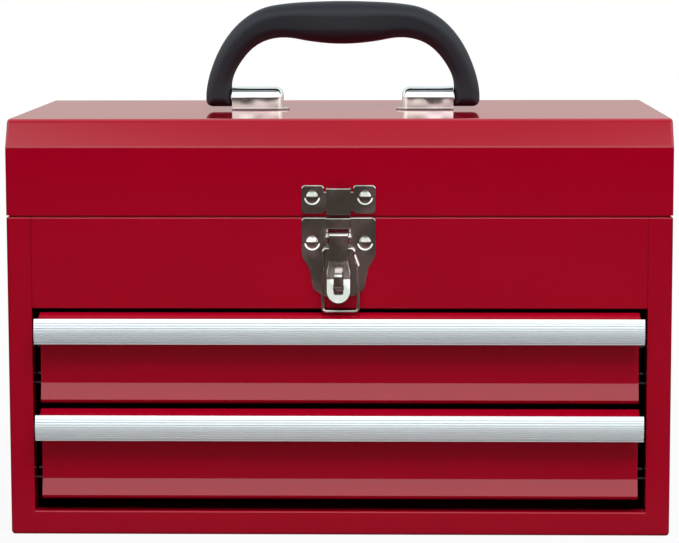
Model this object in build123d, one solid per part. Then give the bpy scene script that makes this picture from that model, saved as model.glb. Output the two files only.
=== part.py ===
from build123d import *
import math
import os

# Portable steel tool box: a lift-up top compartment over two full-width drawers.
# Millimetres. x runs to the right, y to the rear, z up. The origin is the centre of the base.
# "out" is a distance in front of the cabinet's front face, "up" a height above the base.

# ---------------------------------------------------------------- cabinet sizes
SHEET = 0.8
WIDTH = 363.0
DEPTH = 203.0
FOLD_R = 2.0            # outside radius of the folded corners
STILE_W = 13.3          # front stiles, and the flanges folded in at the rear and the base
STILE_RETURN = 12.0
RAIL_H = 13.5
RAIL_RETURN = 8.0
RAIL_EDGE_R = 1.0
PANEL_H = 50.2          # fixed panel above the drawers
PANEL_RETURN = 8.0
PANEL_SEAM = 0.3
LAP_W = 10.0            # hidden overlap where two sheets are welded
SEAM = 1.0              # open line between cabinet and lid
LIP_H = 8.0
LID_GAP = 0.6
SHOULDER_R = 0.7
TRAY_FLANGE = 10.0
TRAY_CORNER_R = 2.0

# ---------------------------------------------------------------- lid sizes
LID_H = 52.1
BEVEL_BACK = 9.0        # how far the top starts behind the front face
BEVEL_DROP = 14.7
BEVEL_TOP_R = 4.0
BEVEL_LOW_R = 2.0
LID_END_R = 1.5

# ---------------------------------------------------------------- drawer front sizes
TOP_GAP = 2.6
DRAWER_GAP = 3.8
BOTTOM_GAP = 7.1
FRONT_H = 49.5
FRONT_GAP = 4.5         # between a drawer front's end and the stile
FACE_SET = 0.5          # the face lies this far behind the cabinet's front
BAND_H = 11.0           # the flared band along the bottom
BAND_OUT = 1.8
BAND_LIP = 1.8
FRONT_RETURN = 5.0
STRIP_OUT = 6.6         # the sloped strip along the top
STRIP_DROP = 2.6
HOOK_DROP = 6.0
FRONT_BEND_R = 0.5
END_RETURN = 8.0

# ---------------------------------------------------------------- aluminium pull sizes
PULL_H = 13.9
PULL_T = 1.5
PULL_BULGE = 1.6
PULL_RISE = 0.6         # top edge above the strip's front corner
PULL_NOSE = 1.0         # thickness of the top edge
PULL_END_GAP = 2.2      # between a pull's end and the stile
RIB_COUNT = 8
RIB_DEEP = 0.3
RIB_LOW = 0.06          # ribbed share of the face, from here
RIB_TOP = 0.84          # to here
RIB_FLANK = 0.18        # share of a rib's pitch taken by each flank
SLOT_PLAY = 0.15
FIN_T = 0.9
FIN_H = 5.0

# ---------------------------------------------------------------- drawer and slide sizes
TRAY_H = 40.0
TRAY_UP = 3.0           # tray floor above the front's bottom edge
TRAY_BEND_R = 1.0
TRAY_HEM = 4.0
REAR_GAP = 9.0
SLIDE_T = 10.0
SLIDE_SETBACK = 14.0    # slides start this far behind the front, and end as far from the rear
SLIDE_UP = 22.0
SLIDE_STEEL = 1.2
SLIDE_EDGE = 1.2        # between a tray and the outer slide's edge
OUTER_H = 27.0
INNER_H = 16.4
INNER_T = 4.6
BALL_PLAY = 0.3
BALLS_A_ROW = 4
CAGE_T = 0.5
CAGE_IN = 1.0
CAGE_LEN = 80.0
CAGE_SETBACK = 65.0
CAGE_EDGE = 12.0
POST_W = 26.0
POST_FOOT = 7.0
POST_STEEL = 1.0
TRAY_RIVET_SETBACK = 46.0
RIVET_R = 1.6
RIVET_HEAD_R = 3.0
RIVET_HEAD_H = 0.7
RIVET_PLAY = 0.05

# ---------------------------------------------------------------- hinge and stay sizes
HINGE_R = 2.0
HINGE_BORE_R = 1.2
HINGE_PLAY = 0.08
HINGE_OFF = 0.3         # knuckles clear of the rear face
HINGE_LEAF = 15.0
HINGE_SETBACK = 13.5    # from each end of the hinge to the box's side
HINGE_KNUCKLES = 13
KNUCKLE_GAP = 0.4
STAY_RADIUS = 45.0      # arm pivot and body stud both lie this far from the hinge
STAY_LID_ANGLE = 60.0
STAY_BODY_ANGLE = 10.0
LID_OPEN_ANGLE = 95.0
STAY_W = 6.0
STAY_T = 1.2
STAY_IN = 3.0
STAY_END = 3.2
STUD_R = 1.2
STUD_HEAD_R = 2.4
STUD_HEAD_H = 0.8
STUD_PLAY = 0.3
ARM_BORE_PLAY = 0.08

# ---------------------------------------------------------------- handle sizes
HANDLE_UP = 6.9         # pivot axis above the lid
SADDLE_R = 6.2
SADDLE_IN = 34.5        # inner end of a bracket, from the middle
SADDLE_OUT = 63.9
SADDLE_END_R = 4.4
SADDLE_END_T = 3.0
PIN_R = 4.5
PIN_PLAY = 0.08
PIN_END_PLAY = 0.5
PIN_STUB_R = 3.4
PIN_STUB_LEN = 9.0
FOOT_IN = 30.9
FOOT_W = 16.8
FOOT_TIP_W = 6.0
FOOT_T = 1.1
FOOT_R = 2.0
TAB_W = 8.0
TAB_T = 1.2
TAB_FOLD = 5.0
TAB_PLAY = 0.2
TAB_X = 50.0
GRIP_PLAY = 0.3
GRIP_END_W = 15.0
GRIP_END_DEEP = 13.0
GRIP_END_DROP = 5.2
GRIP_END_R = 4.5
GRIP_DEEP = 22.0
# The grip's sections from one end to the middle, on rays from the pivots' line: the ray's
# angle, the radii of its inner and outer edge as shares of the grip's half width, and its
# depth as a share of the depth in the middle.
GRIP_STATIONS = (
    (5, 0.8150, 0.9962, 0.595),
    (10, 0.8157, 0.9874, 0.609),
    (20, 0.7854, 0.9684, 0.664),
    (30, 0.7412, 0.9470, 0.727),
    (40, 0.6667, 0.9141, 0.800),
    (50, 0.5644, 0.8611, 0.873),
    (60, 0.4735, 0.7917, 0.927),
    (70, 0.4242, 0.7399, 0.973),
    (80, 0.3990, 0.7109, 0.995),
    (90, 0.3914, 0.7020, 1.000),
)
GRIP_ROUND = 0.42       # corner radius as a share of a section's smaller side

# ---------------------------------------------------------------- draw latch sizes
LATCH_W = 40.4
LATCH_T = 1.2
LATCH_RISE = 4.4        # raised bridges in front of the cabinet
BRIDGE_W = 13.4
BRIDGE_STEEL = 1.0
BRIDGE_BEND_R = 0.6
LATCH_CORNER_R = 2.0
BASE_H = 43.2
BASE_SIDE_H = 21.0      # straight sides, then three tapers
BASE_NECK_H = 27.6
BASE_NECK_W = 32.4
BASE_TAIL_H = 39.4
BASE_TAIL_W = 27.8
BASE_FOOT_W = 16.0
BRIDGE_H = 6.0
WINDOW_H = 14.3
STRIKE_UP = 0.6         # strike above the lid's edge
STRIKE_PAD_UP = 0.5
STRIKE_PAD_H = 15.6
STRIKE_BRIDGE_H = 14.6
PAD_GAP = 1.1
RIVET_SPACING = 28.8
BASE_RIVET_DROP = 13.6
STRIKE_RIVET_UP = 9.6
DOME_R = 3.4
DOME_H = 1.4
DIMPLE_R = 4.3
DIMPLE_DEEP = 0.5
LEVER_PIN_DROP = 10.4   # lever pivot below the cabinet's top edge
LEVER_PIN_OUT = 4.4
LEVER_PIN_R = 1.1
LEVER_PIN_END = 0.4
LATCH_PLAY = 0.08
EAR_R = 2.9
LEVER_SIDE_PLAY = 0.4
LEVER_STEEL = 1.2
LEVER_FLANGE_T = 1.0
LEVER_TOP_R = 2.5
LEVER_FACE_OUT = 6.9
LEVER_FACE_R = 1.6
LEVER_LEN = 35.8
LEVER_TAIL_W = 12.8
LEVER_WAIST_DROP = 13.8
LEVER_FLARE_DROP = 18.3
LEVER_KICK_DROP = 22.8
LEVER_KICK_OUT = 2.8
LEVER_SLOT_W = 5.0
LEVER_SLOT_DROP = 14.4
LEVER_SLOT_LEN = 16.2
LEVER_SLOT_R = 1.0
STAPLE_W = 4.2
STAPLE_STEEL = 1.3
STAPLE_H = 8.6
STAPLE_OUT = 13.5
STAPLE_DROP = 22.9      # staple's middle below the lever pivot
STAPLE_BEND_R = 2.2
BAIL_WIRE_R = 0.85
BAIL_PIVOT_DROP = 6.4   # wire pivot below the lever pivot
BAIL_PIVOT_OUT = 3.6
BAIL_LEN = 34.2
BAIL_TOP_W = 16.6
BAIL_LOW_W = 19.2
BAIL_LEAN = 1.0         # the loop hangs this far to the right
BAIL_BEND_R = 1.8
BAIL_JOG_DROP = 3.4
BAIL_JOG_LEN = 6.0
BAIL_TIP = 1.5          # wire end inside the lever's flange
LUG_R = 1.9

# ---------------------------------------------------------------- places worked out from the sizes
FRONT_Y = -DEPTH / 2
REAR_Y = DEPTH / 2
HALF_W = WIDTH / 2
WALL_IN = HALF_W - SHEET
OPENING = HALF_W - STILE_W
DRAWER_PITCH = FRONT_H + DRAWER_GAP
LOW_FRONT_UP = RAIL_H + BOTTOM_GAP
FRONT_UPS = (LOW_FRONT_UP + DRAWER_PITCH, LOW_FRONT_UP)
SLIDE_UPS = tuple(up + SLIDE_UP for up in FRONT_UPS)
BAY_TOP = FRONT_UPS[0] + FRONT_H + TOP_GAP
BODY_H = BAY_TOP + PANEL_H
LID_UP = BODY_H + SEAM
LID_TOP = LID_UP + LID_H
LIP_SET = SHEET + LID_GAP
TRAY_FLOOR_UP = BAY_TOP + SHEET
TRAY_FRONT_Y = FRONT_Y + 2 * SHEET
TRAY_REAR_Y = REAR_Y - 2 * SHEET
FRONT_HALF = OPENING - FRONT_GAP
TRAY_HALF = FRONT_HALF - SHEET
PULL_HALF = OPENING - PULL_END_GAP
SLIDE_BACK = TRAY_HALF + SLIDE_T
SLIDE_FRONT_Y = FRONT_Y + SLIDE_SETBACK
CAGE_FRONT_Y = SLIDE_FRONT_Y + CAGE_SETBACK
RACE_GAP = (OUTER_H - INNER_H) / 2 - SLIDE_STEEL
RACE_UP = (INNER_H + RACE_GAP) / 2
BALL_R = RACE_GAP / 2 - BALL_PLAY
SLIDE_LEN = DEPTH - 2 * SLIDE_SETBACK
POST_Y = SLIDE_LEN / 2 - POST_FOOT - POST_W / 2
POST_YS = (-POST_Y, POST_Y)
TRAY_RIVET_Y = SLIDE_LEN / 2 - TRAY_RIVET_SETBACK
TRAY_RIVET_YS = (-TRAY_RIVET_Y, TRAY_RIVET_Y)
HINGE_LEN = WIDTH - 2 * HINGE_SETBACK
HINGE_Y = REAR_Y + HINGE_OFF + HINGE_R
HINGE_UP = BODY_H + SEAM / 2
ARM_OUT = WALL_IN - STAY_IN
ARM_IN = ARM_OUT - STAY_T
HANDLE_Z = LID_TOP + HANDLE_UP
GRIP_END_IN = SADDLE_OUT + GRIP_PLAY
LEVER_PIN_UP = BODY_H - LEVER_PIN_DROP
BAIL_PIVOT_UP = LEVER_PIN_UP - BAIL_PIVOT_DROP
EAR_OUTER = BRIDGE_W / 2
EAR_INNER = EAR_OUTER - BRIDGE_STEEL
LEVER_HALF = EAR_INNER - LEVER_SIDE_PLAY

# Outlines on the front: x to the right, z up, drawn out towards the viewer.
FACE = Plane.XZ.offset(-FRONT_Y)
# Sections through the front: first axis out of the front, second axis up.
SECTION = Plane(origin=(0, FRONT_Y, 0), x_dir=(0, -1, 0), z_dir=(-1, 0, 0))


# ---------------------------------------------------------------- helpers
def block(x_span, y_span, z_span):
    """A rectangular solid between two limits along each axis."""
    spans = (x_span, y_span, z_span)
    centre = [(low + high) / 2 for low, high in spans]
    return Pos(*centre) * Box(*[high - low for low, high in spans])


def outline(*points):
    """A flat face inside straight lines through the points."""
    return make_face(Polyline(*points, close=True))


def folded(points, thickness, radius, side=Side.LEFT):
    """The section of a folded sheet, whose one face runs through the points."""
    line = FilletPolyline(*points, radius=radius)
    return make_face(offset(line, thickness, side=side, closed=True).edges())


def rod(radius, start, end, centre):
    """A round bar along x, from start to end, on the centre (y, z)."""
    return extrude(Plane.YZ.offset(start) * Pos(*centre) * Circle(radius), end - start)


def peg(radius, start, end, centre):
    """A round bar square to the front, between two distances out, on the centre (x, z)."""
    return on_front(Pos(*centre) * Circle(radius), start, end)


def along_x(section, start, end):
    """A (y, z) section drawn out along x."""
    return extrude(Plane.YZ.offset(start) * section, end - start)


def along_y(section, start, end):
    """An (x, z) section drawn out along y."""
    return extrude(Plane.XZ.offset(-start) * section, start - end)


def on_front(section, start, end):
    """An (x, z) outline drawn out between two distances in front of the cabinet."""
    return extrude(FACE.offset(start) * section, end - start)


def across_front(section, half_length):
    """An (out, up) section drawn out to both sides of the middle."""
    return extrude(SECTION * section, half_length, both=True)


def both_sides(shape):
    """The shape and its mirror image on the other side of the box."""
    return [shape, mirror(shape, about=Plane.YZ)]


def joined(shapes):
    """All the shapes as one."""
    total = shapes[0]
    for shape in shapes[1:]:
        total = total + shape
    return total


def write(name, *shapes):
    """Saves one named piece, or one group of like pieces."""
    shape = shapes[0] if len(shapes) == 1 else Compound(children=list(shapes))
    export_step(shape, f"parts/{name}.step")


# ---------------------------------------------------------------- cabinet
def cabinet_skin():
    """Sides, rear and base as one folded skin, open between the stiles and along the top."""
    def envelope(inset, top):
        solid = block((inset - HALF_W, HALF_W - inset), (FRONT_Y + inset, REAR_Y - inset), (inset, top))
        creases = solid.edges().filter_by(Axis.Z) + solid.faces().sort_by(Axis.Z)[0].edges()
        return fillet(creases, FOLD_R - inset)

    front = block((-OPENING, OPENING), (FRONT_Y, FRONT_Y + FOLD_R), (RAIL_H, BODY_H))
    crown = block((-HALF_W, HALF_W), (FRONT_Y, REAR_Y - LAP_W), (BODY_H - SHEET, BODY_H))
    return envelope(0, BODY_H) - envelope(SHEET, BODY_H + FOLD_R) - front - crown


def shoulder():
    """The fold along the top of front and sides: a narrow shelf, and the lip inside the lid."""
    def ring(outer, inner, low, high, corner):
        plate = RectangleRounded(WIDTH - 2 * outer, DEPTH - 2 * outer, corner)
        hole = Rectangle(WIDTH - 2 * inner, DEPTH - 2 * inner)
        return extrude(Plane.XY.offset(low) * (plate - hole), high - low)

    shelf = ring(0, LIP_SET + SHEET, BODY_H - SHEET, BODY_H, FOLD_R)
    shelf = fillet(shelf.faces().sort_by(Axis.Z)[-1].outer_wire().edges(), SHOULDER_R)
    lip = ring(LIP_SET, LIP_SET + SHEET, BODY_H - SHEET, BODY_H + LIP_H, LID_GAP)
    rear = block((-HALF_W, HALF_W), (REAR_Y - LAP_W, REAR_Y), (0, LID_TOP))
    return shelf + lip - rear


def mitre_wedge():
    """The space below the slanting joint between the right stile and the bottom rail."""
    corner = outline((HALF_W, 0), (OPENING, RAIL_H), (OPENING, -RAIL_H), (HALF_W, -RAIL_H))
    return on_front(corner, -FOLD_R, SHEET)


def side_panel(skin, fold):
    """The right side: wall, front stile with its return, rear and bottom flanges, and top lip."""
    outside = block((OPENING, HALF_W), (FRONT_Y, REAR_Y), (0, BODY_H + LIP_H))
    back_fold = block(
        (OPENING, OPENING + SHEET), (FRONT_Y, FRONT_Y + STILE_RETURN), (RAIL_H, BAY_TOP)
    )
    return (skin & outside) + (fold & outside) + back_fold - mitre_wedge()


def bottom_pan(skin):
    """The base with its front rail, mitred into the stiles, and hidden laps over the side flanges."""
    middle = block((-OPENING, OPENING), (FRONT_Y, REAR_Y), (0, RAIL_H))
    back_fold = block((-OPENING, OPENING), (FRONT_Y, FRONT_Y + RAIL_RETURN), (RAIL_H - SHEET, RAIL_H))
    pan = (skin & middle) + back_fold
    edge = pan.edges().filter_by(Axis.X).filter_by(
        lambda e: abs(e.center().Y - FRONT_Y) < SHEET / 2 and abs(e.center().Z - RAIL_H) < SHEET / 2
    )
    pan = fillet(edge, RAIL_EDGE_R)
    lap = block(
        (OPENING - LAP_W, OPENING + LAP_W),
        (FRONT_Y + STILE_RETURN, REAR_Y - 2 * FOLD_R),
        (SHEET, 2 * SHEET),
    )
    return joined([pan] + both_sides(mitre_wedge() & skin) + both_sides(lap))


def back_panel(skin):
    """The rear sheet between the side flanges, with hidden laps behind its edges."""
    middle = block((-OPENING, OPENING), (REAR_Y - SHEET, REAR_Y), (RAIL_H, BODY_H))
    behind = (REAR_Y - 2 * SHEET, REAR_Y - SHEET)
    low = RAIL_H - LAP_W / 2
    side_lap = block((OPENING - LAP_W, OPENING + LAP_W), behind, (low, BODY_H - LAP_W))
    low_lap = block((LAP_W - OPENING, OPENING - LAP_W), behind, (low, RAIL_H + LAP_W / 2))
    return joined([skin & middle, low_lap] + both_sides(side_lap))


def front_panel(fold):
    """The fixed panel over the drawers, with a return above them and laps behind the stiles."""
    half = OPENING - PANEL_SEAM
    sheet = block((-half, half), (FRONT_Y, FRONT_Y + SHEET), (BAY_TOP, BODY_H - SHEET))
    back_fold = block((-half, half), (FRONT_Y, FRONT_Y + PANEL_RETURN), (BAY_TOP, BAY_TOP + SHEET))
    panel = sheet + back_fold
    edge = panel.edges().filter_by(Axis.X).filter_by(
        lambda e: abs(e.center().Y - FRONT_Y) < SHEET / 2 and abs(e.center().Z - BAY_TOP) < SHEET / 2
    )
    panel = fillet(edge, RAIL_EDGE_R)
    middle = block((-half, half), (FRONT_Y, REAR_Y - LAP_W), (0, BODY_H + LIP_H))
    lap = block(
        (half - LAP_W, OPENING + LAP_W),
        (FRONT_Y + SHEET, FRONT_Y + 2 * SHEET),
        (BAY_TOP + SHEET, BODY_H - 2 * SHEET),
    )
    return joined([panel, fold & middle] + both_sides(lap))


def tray_floor():
    """The floor of the top compartment, which rests on the panel's return."""
    sheet = block(
        (-WALL_IN, WALL_IN),
        (TRAY_FRONT_Y, TRAY_REAR_Y),
        (TRAY_FLOOR_UP, TRAY_FLOOR_UP + SHEET),
    )
    return fillet(sheet.edges().filter_by(Axis.Z), TRAY_CORNER_R)


def tray_flanges():
    """The floor's upturned edges along its four sides, open at the corners."""
    heights = (TRAY_FLOOR_UP + SHEET, TRAY_FLOOR_UP + TRAY_FLANGE)
    widths = (TRAY_CORNER_R - WALL_IN, WALL_IN - TRAY_CORNER_R)
    depths = (TRAY_FRONT_Y + TRAY_CORNER_R, TRAY_REAR_Y - TRAY_CORNER_R)
    front = block(widths, (TRAY_FRONT_Y, TRAY_FRONT_Y + SHEET), heights)
    rear = block(widths, (TRAY_REAR_Y - SHEET, TRAY_REAR_Y), heights)
    return [front, rear] + both_sides(block((WALL_IN - SHEET, WALL_IN), depths, heights))


def slide_post(centre_y):
    """A hat-section upright on the right wall, which carries the outer slides."""
    wall = WALL_IN - POST_STEEL
    half = POST_W / 2
    foot = half + POST_FOOT
    line = [
        (wall, centre_y - foot), (wall, centre_y - half), (SLIDE_BACK, centre_y - half),
        (SLIDE_BACK, centre_y + half), (wall, centre_y + half), (wall, centre_y + foot),
    ]
    section = folded(line, POST_STEEL, POST_STEEL, Side.RIGHT)
    post = extrude(Plane.XY.offset(FOLD_R) * section, BAY_TOP + SHEET - FOLD_R)
    for up in SLIDE_UPS:
        post = post - rod(RIVET_R + RIVET_PLAY, SLIDE_BACK, SLIDE_BACK + POST_STEEL, (centre_y, up))
    return post


# ---------------------------------------------------------------- drawer slides
def slide_rivet(face_in, face_out, centre):
    """A flat-headed rivet along x through two sheets, on the centre (y, z)."""
    shank = rod(RIVET_R, face_in, face_out, centre)
    inner_head = rod(RIVET_HEAD_R, face_in - RIVET_HEAD_H, face_in, centre)
    return shank + inner_head + rod(RIVET_HEAD_R, face_out, face_out + RIVET_HEAD_H, centre)


def rivet_hole(start, thickness, centre):
    """The hole that a slide's rivet passes."""
    return rod(RIVET_R + RIVET_PLAY, start, start + thickness, centre)


def outer_slide(up):
    """The right cabinet member: a channel open towards the drawer."""
    half = OUTER_H / 2
    near = TRAY_HALF + SLIDE_EDGE
    line = [(near, up - half), (SLIDE_BACK, up - half), (SLIDE_BACK, up + half), (near, up + half)]
    slide = along_y(folded(line, SLIDE_STEEL, SLIDE_STEEL), SLIDE_FRONT_Y, SLIDE_FRONT_Y + SLIDE_LEN)
    for y in POST_YS:
        slide = slide - rivet_hole(SLIDE_BACK - SLIDE_STEEL, SLIDE_STEEL, (y, up))
    return slide


def inner_slide(up):
    """The right drawer member: a narrower channel, open towards the cabinet."""
    half = INNER_H / 2
    far = TRAY_HALF + INNER_T
    line = [(far, up - half), (TRAY_HALF, up - half), (TRAY_HALF, up + half), (far, up + half)]
    slide = along_y(
        folded(line, SLIDE_STEEL, SLIDE_STEEL, Side.RIGHT), SLIDE_FRONT_Y, SLIDE_FRONT_Y + SLIDE_LEN
    )
    for y in TRAY_RIVET_YS:
        slide = slide - rivet_hole(TRAY_HALF, SLIDE_STEEL, (y, up))
    return slide


def ball_places(up):
    """The centres of one slide's balls, above and below the drawer member."""
    step = (CAGE_LEN - 2 * CAGE_EDGE) / (BALLS_A_ROW - 1)
    x = TRAY_HALF + INNER_T - BALL_R
    return [
        (x, CAGE_FRONT_Y + CAGE_EDGE + step * row, up + rise)
        for row in range(BALLS_A_ROW)
        for rise in (-RACE_UP, RACE_UP)
    ]


def ball_cage(up):
    """The strip that keeps one slide's balls in step."""
    near = TRAY_HALF + CAGE_IN
    far = SLIDE_BACK - SLIDE_STEEL - RIVET_HEAD_H - BALL_PLAY
    half = RACE_UP + CAGE_T / 2
    line = [(near, up - half), (far, up - half), (far, up + half), (near, up + half)]
    cage = along_y(folded(line, CAGE_T, CAGE_T), CAGE_FRONT_Y, CAGE_FRONT_Y + CAGE_LEN)
    for x, y, z in ball_places(up):
        cage = cage - Pos(x, y, z) * Cylinder(BALL_R + BALL_PLAY, 2 * CAGE_T)
    return cage


# ---------------------------------------------------------------- drawers
def drawer_tray(up):
    """The drawer's pan: floor, sides with turned-in rims, and rear."""
    low = up + TRAY_UP
    top = low + TRAY_H
    near = FRONT_Y + FACE_SET + SHEET
    far = REAR_Y - REAR_GAP
    line = [
        (TRAY_HEM - TRAY_HALF, top), (-TRAY_HALF, top), (-TRAY_HALF, low),
        (TRAY_HALF, low), (TRAY_HALF, top), (TRAY_HALF - TRAY_HEM, top),
    ]
    tray = along_y(folded(line, SHEET, TRAY_BEND_R), near, far)
    inside = TRAY_HALF - SHEET
    tray = tray + block((-inside, inside), (far - SHEET, far), (low, top))
    for y in TRAY_RIVET_YS:
        hole = rivet_hole(inside, SHEET, (y, up + SLIDE_UP))
        tray = tray - joined(both_sides(hole))
    return tray


def drawer_front(up):
    """The front sheet: flared bottom band, face, and the sloped strip whose hook carries the pull."""
    line = [
        (-FRONT_RETURN, up),
        (BAND_OUT - BAND_LIP, up),
        (BAND_OUT, up + BAND_LIP),
        (-FACE_SET, up + BAND_H),
        (-FACE_SET, up + FRONT_H),
        (STRIP_OUT, up + FRONT_H - STRIP_DROP),
        (STRIP_OUT, up + FRONT_H - STRIP_DROP - HOOK_DROP),
    ]
    front = across_front(folded(line, SHEET, FRONT_BEND_R), FRONT_HALF)
    back = FRONT_Y + FACE_SET
    end = block(
        (TRAY_HALF, FRONT_HALF), (back, back + END_RETURN), (up + TRAY_UP, up + TRAY_UP + TRAY_H)
    )
    return joined([front] + both_sides(end))


def pull_face(low, height, foot_out):
    """Points up the pull's bowed front, with fine ribs between two plain edges."""
    def bow(share):
        return foot_out + PULL_BULGE * (1 - (2 * share - 1) ** 2)

    step = (RIB_TOP - RIB_LOW) / RIB_COUNT
    points = [(bow(0), low)]
    for rib in range(RIB_COUNT):
        start = RIB_LOW + rib * step
        crest = [start + step * RIB_FLANK, start + step * (1 - RIB_FLANK)]
        points.append((bow(start) - RIB_DEEP, low + height * start))
        points += [(bow(share), low + height * share) for share in crest]
    points.append((bow(RIB_TOP) - RIB_DEEP, low + height * RIB_TOP))
    points += [(bow(share), low + height * share) for share in (RIB_TOP + step * RIB_FLANK, 1)]
    return points


def drawer_pull(up):
    """The full-width extruded pull: a ribbed face, and a slot that grips the front's hook."""
    hook_in = STRIP_OUT - SLOT_PLAY
    hook_out = STRIP_OUT + SHEET + SLOT_PLAY
    top = up + FRONT_H - STRIP_DROP + PULL_RISE
    low = top - PULL_H
    slot = up + FRONT_H - STRIP_DROP - HOOK_DROP - SLOT_PLAY
    foot_out = hook_out + PULL_NOSE
    back = [
        (hook_out, top), (hook_out, slot), (hook_in, slot), (hook_in, slot + FIN_H),
        (hook_in - FIN_T, slot + FIN_H), (hook_in - FIN_T, slot - FIN_T),
        (hook_out + PULL_NOSE / 2, slot - FIN_T), (foot_out - PULL_T, low),
    ]
    return across_front(outline(*pull_face(low, PULL_H, foot_out), *back), PULL_HALF)


def drawer_rivets(up):
    """The four rivets that join a drawer's slides to its tray."""
    rivets = []
    for y in TRAY_RIVET_YS:
        rivets += both_sides(slide_rivet(TRAY_HALF - SHEET, TRAY_HALF + SLIDE_STEEL, (y, up)))
    return rivets


# ---------------------------------------------------------------- lid, hinge and stays
def lid_form(inset):
    """The lid's outside, or its inside at one sheet's depth, as a solid open to below."""
    front = FRONT_Y + inset
    rear = REAR_Y - inset
    top = LID_TOP - inset
    slope = math.hypot(BEVEL_BACK, BEVEL_DROP)
    low_shift = inset * (slope - BEVEL_DROP) / BEVEL_BACK
    top_shift = inset * (slope - BEVEL_BACK) / BEVEL_DROP
    low = LID_TOP - BEVEL_DROP - low_shift
    back = FRONT_Y + BEVEL_BACK + top_shift
    under = LID_UP - inset
    section = outline((front, under), (front, low), (back, top), (rear, top), (rear, under))

    def corner(y, z):
        return section.vertices().sort_by_distance((y, z, 0))[:1]

    section = fillet(corner(front, low), BEVEL_LOW_R - inset)
    section = fillet(corner(back, top), BEVEL_TOP_R - inset)
    section = fillet(corner(rear, top), FOLD_R - inset)
    half = HALF_W - inset
    solid = along_x(section, -half, half)
    rims = [
        edge
        for edge in solid.edges()
        if abs(abs(edge.center().X) - half) < SHEET / 2 and edge.center().Z > under + SHEET / 2
    ]
    upright = [edge for edge in rims if edge.bounding_box().size.Z > LID_H / 3 and edge.center().Y > 0]
    return fillet([edge for edge in rims if edge not in upright], LID_END_R - inset)


def tab_slot():
    """The lid's slot for one clinched tab, at the right front."""
    y = FOOT_W / 2 - TAB_T / 2
    half = TAB_T / 2 + TAB_PLAY
    width = TAB_W / 2 + TAB_PLAY
    return block((TAB_X - width, TAB_X + width), (-y - half, -y + half), (LID_TOP - 2 * SHEET, LID_TOP))


def lid_shell():
    """The lid: one folded sheet with a bevelled front, closed ends, and slots for the brackets."""
    slot = tab_slot()
    slots = both_sides(slot) + both_sides(mirror(slot, about=Plane.XZ))
    lid = lid_form(0) - lid_form(SHEET)
    return lid - joined(slots)


def knuckle_spans(first):
    """The ends along x of every second knuckle, from the given one."""
    pitch = HINGE_LEN / HINGE_KNUCKLES
    starts = [index * pitch - HINGE_LEN / 2 for index in range(first, HINGE_KNUCKLES, 2)]
    return [(start + KNUCKLE_GAP / 2, start + pitch - KNUCKLE_GAP / 2) for start in starts]


def hinge_leaf(first, way):
    """One leaf with its knuckles: way is 1 for the lid's and -1 for the cabinet's."""
    near = HINGE_UP + way * (HINGE_R + KNUCKLE_GAP)
    far = HINGE_UP + way * HINGE_LEAF
    leaf = block(
        (-HINGE_LEN / 2, HINGE_LEN / 2), (REAR_Y, REAR_Y + SHEET), (min(near, far), max(near, far))
    )
    for start, end in knuckle_spans(first):
        root = block(
            (start, end), (REAR_Y, REAR_Y + SHEET), (min(HINGE_UP, near), max(HINGE_UP, near))
        )
        leaf = leaf + root + rod(HINGE_R, start, end, (HINGE_Y, HINGE_UP))
    return leaf - rod(HINGE_BORE_R, -HINGE_LEN, HINGE_LEN, (HINGE_Y, HINGE_UP))


def hinge_pin():
    """The full-length pin of the rear hinge."""
    return rod(HINGE_BORE_R - HINGE_PLAY, -HINGE_LEN / 2, HINGE_LEN / 2, (HINGE_Y, HINGE_UP))


def stay_place(angle):
    """A (y, z) point on the stays' circle about the hinge, at an angle above the front's direction."""
    turn = math.radians(angle)
    return (HINGE_Y - STAY_RADIUS * math.cos(turn), HINGE_UP + STAY_RADIUS * math.sin(turn))


def stay_reach(lid_angle):
    """The distance from the arm's pivot to the cabinet's stud with the lid open by an angle."""
    return 2 * STAY_RADIUS * math.sin(math.radians(STAY_LID_ANGLE + STAY_BODY_ANGLE + lid_angle) / 2)


def stay_arm():
    """The right slotted arm, from its pivot in the lid past the cabinet's stud."""
    half = STAY_W / 2
    closed = stay_reach(0)
    opened = stay_reach(LID_OPEN_ANGLE)
    slot_r = STUD_R + STUD_PLAY
    end = opened + STAY_END - half
    bar = Pos(end / 2, 0) * Rectangle(end, STAY_W) + Circle(half) + Pos(end, 0) * Circle(half)
    slot = Pos((closed + opened) / 2, 0) * SlotCenterToCenter(opened - closed, 2 * slot_r)
    flat = bar - slot - Circle(STUD_R + ARM_BORE_PLAY)
    pivot = stay_place(STAY_LID_ANGLE)
    stud = stay_place(-STAY_BODY_ANGLE)
    along = (0, stud[0] - pivot[0], stud[1] - pivot[1])
    plane = Plane(origin=(ARM_IN, *pivot), x_dir=along, z_dir=(1, 0, 0))
    return extrude(plane * flat, STAY_T)


def stay_stud(centre):
    """A shouldered stud on the right wall, with a head that keeps the arm on."""
    head_face = ARM_IN - STUD_PLAY
    shank = rod(STUD_R, head_face, WALL_IN, centre)
    shoulder_part = rod(STUD_HEAD_R, ARM_OUT + STUD_PLAY, WALL_IN, centre)
    return shank + shoulder_part + rod(STUD_HEAD_R, head_face - STUD_HEAD_H, head_face, centre)


# ---------------------------------------------------------------- handle
def arch(radius, top, foot):
    """A (y, z) outline of a half-round top over straight sides, about the handle's axis."""
    sides = Pos(0, (top + foot) / 2) * Rectangle(2 * radius, top - foot)
    return sides + Pos(0, top) * Circle(radius)


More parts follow.
